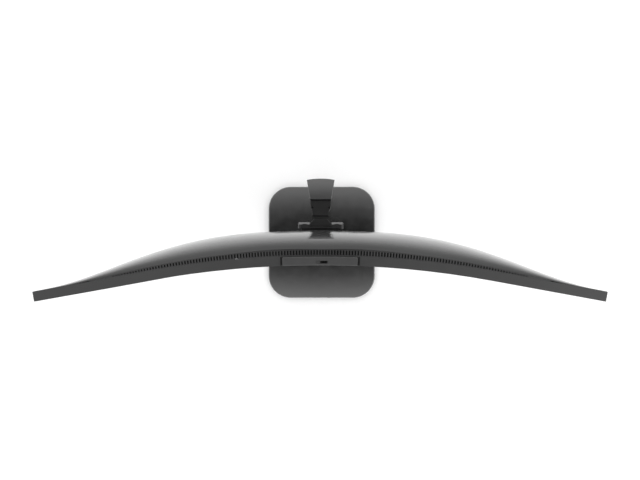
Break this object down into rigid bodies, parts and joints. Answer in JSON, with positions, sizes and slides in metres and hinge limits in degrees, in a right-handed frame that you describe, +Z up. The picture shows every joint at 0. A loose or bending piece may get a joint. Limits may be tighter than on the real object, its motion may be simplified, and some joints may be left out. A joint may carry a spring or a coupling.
{
  "type": "computer monitor",
  "caption": "Curved ultra-wide computer monitor with a webcam on its top edge, on a stand that swivels, lifts and tilts.",
  "frame": {"origin": "on the desk, under the middle of the base", "axes": "+Z up, +Y towards the back of the monitor, the screen faces -Y, +X to the right of a person behind the screen looking along +Y"},
  "size_m": [0.8102, 0.237, 0.5995],
  "materials": {
    "frame_plastic": "fine moulded texture, matt black",
    "cover_plastic": "satin moulded black",
    "vent_plastic": "matt black",
    "webcam_plastic": "fine moulded texture, matt black",
    "button_plastic": "satin black",
    "stand_plastic": "fine moulded texture, dark grey",
    "arm_plastic": "satin black",
    "arm_metal": "black powder coat",
    "plate_metal": "black powder coat",
    "steel_dark": "black coated steel",
    "steel_bright": "zinc-plated sheet steel",
    "screw_black": "black oxide",
    "slide_plastic": "natural acetal",
    "foot_rubber": "matt rubber",
    "screen_glass": "anti-glare screen surface",
    "window_glass": "tinted window",
    "lens_glass": "coated lens",
    "film_white": "white diffuser film",
    "guide_clear": "clear acrylic",
    "led_clear": "clear light pipe",
    "board_green": "green solder resist",
    "speaker_black": "matt black",
    "port_metal": "tinned shell"
  },
  "bodies": {
    "base": {"base_plate": "steel_dark", "base_cover": "stand_plastic", "base_feet": "foot_rubber", "swivel_hub": "steel_bright", "swivel_washer": "slide_plastic"},
    "column": {"column_rear_shell": "stand_plastic", "column_front_cover": "stand_plastic", "column_top_cap": "stand_plastic", "lift_rail": "steel_bright", "cable_grommet": "foot_rubber", "column_foot": "steel_dark", "thumb_screw": "steel_bright"},
    "carriage": {"arm": "arm_metal", "arm_cover": "arm_plastic", "arm_screws": "screw_black", "tilt_pin": "steel_bright", "tilt_washers": "screw_black", "lift_carriage": "arm_metal", "lift_spring": "steel_bright", "glide_pads": "slide_plastic"},
    "head": {"front_frame": "frame_plastic", "chin_trim": "frame_plastic", "power_led_window": "led_clear", "lcd_glass": "screen_glass", "optical_sheets": "film_white", "light_guide": "guide_clear", "led_bar": "board_green", "backlight_chassis": "steel_bright", "rear_cover": "cover_plastic", "vent_strip": "vent_plastic", "cover_screws": "screw_black", "vesa_plate": "steel_bright", "shield_can": "steel_bright", "mainboard": "board_green", "power_board": "board_green", "timing_board": "board_green", "speaker_left": "speaker_black", "speaker_right": "speaker_black", "port_bay": "vent_plastic", "hdmi_ports": "port_metal", "displayport": "port_metal", "usb_c_port": "port_metal", "usb_a_ports": "port_metal", "network_port": "port_metal", "audio_jack": "speaker_black", "power_inlet": "speaker_black", "osd_board": "board_green", "webcam_housing": "webcam_plastic", "webcam_window": "window_glass", "webcam_lens_barrel": "speaker_black", "webcam_lens": "lens_glass", "webcam_board": "board_green", "mount_plate": "plate_metal"},
    "shutter": {"webcam_shutter": "webcam_plastic"},
    "release": {"release_button": "stand_plastic"},
    "button_1": {"button_1": "button_plastic"},
    "button_2": {"button_2": "button_plastic"},
    "button_3": {"button_3": "button_plastic"},
    "button_4": {"button_4": "button_plastic"},
    "button_5": {"button_5": "button_plastic"}
  },
  "joints": [
    {"name": "swivel", "type": "hinge", "parent": "base", "child": "column", "pos_m": [0, 0.081, 0.012], "axis": [0, 0, 1], "range_deg": [-30, 30]},
    {"name": "lift", "type": "slide", "parent": "column", "child": "carriage", "axis": [0, 0, 1], "range_m": [-0.15, 0]},
    {"name": "tilt", "type": "hinge", "parent": "carriage", "child": "head", "pos_m": [0, 0.024, 0.403], "axis": [-1, 0, 0], "range_deg": [-5, 20]},
    {"name": "shutter_slide", "type": "slide", "parent": "head", "child": "shutter", "axis": [1, 0, 0], "range_m": [0, 0.01]},
    {"name": "release_press", "type": "slide", "parent": "head", "child": "release", "axis": [0, 0, 1], "range_m": [0, 0.0035], "stiffness_N_per_m": 400, "springref_m": -0.003},
    {"name": "button_1_press", "type": "slide", "parent": "head", "child": "button_1", "axis": [0, 0, 1], "range_m": [0, 0.0008], "stiffness_N_per_m": 300, "springref_m": -0.002},
    {"name": "button_2_press", "type": "slide", "parent": "head", "child": "button_2", "axis": [0, 0, 1], "range_m": [0, 0.0008], "stiffness_N_per_m": 300, "springref_m": -0.002},
    {"name": "button_3_press", "type": "slide", "parent": "head", "child": "button_3", "axis": [0, 0, 1], "range_m": [0, 0.0008], "stiffness_N_per_m": 300, "springref_m": -0.002},
    {"name": "button_4_press", "type": "slide", "parent": "head", "child": "button_4", "axis": [0, 0, 1], "range_m": [0, 0.0008], "stiffness_N_per_m": 300, "springref_m": -0.002},
    {"name": "button_5_press", "type": "slide", "parent": "head", "child": "button_5", "axis": [0, 0, 1], "range_m": [0, 0.0008], "stiffness_N_per_m": 300, "springref_m": -0.002}
  ]
}
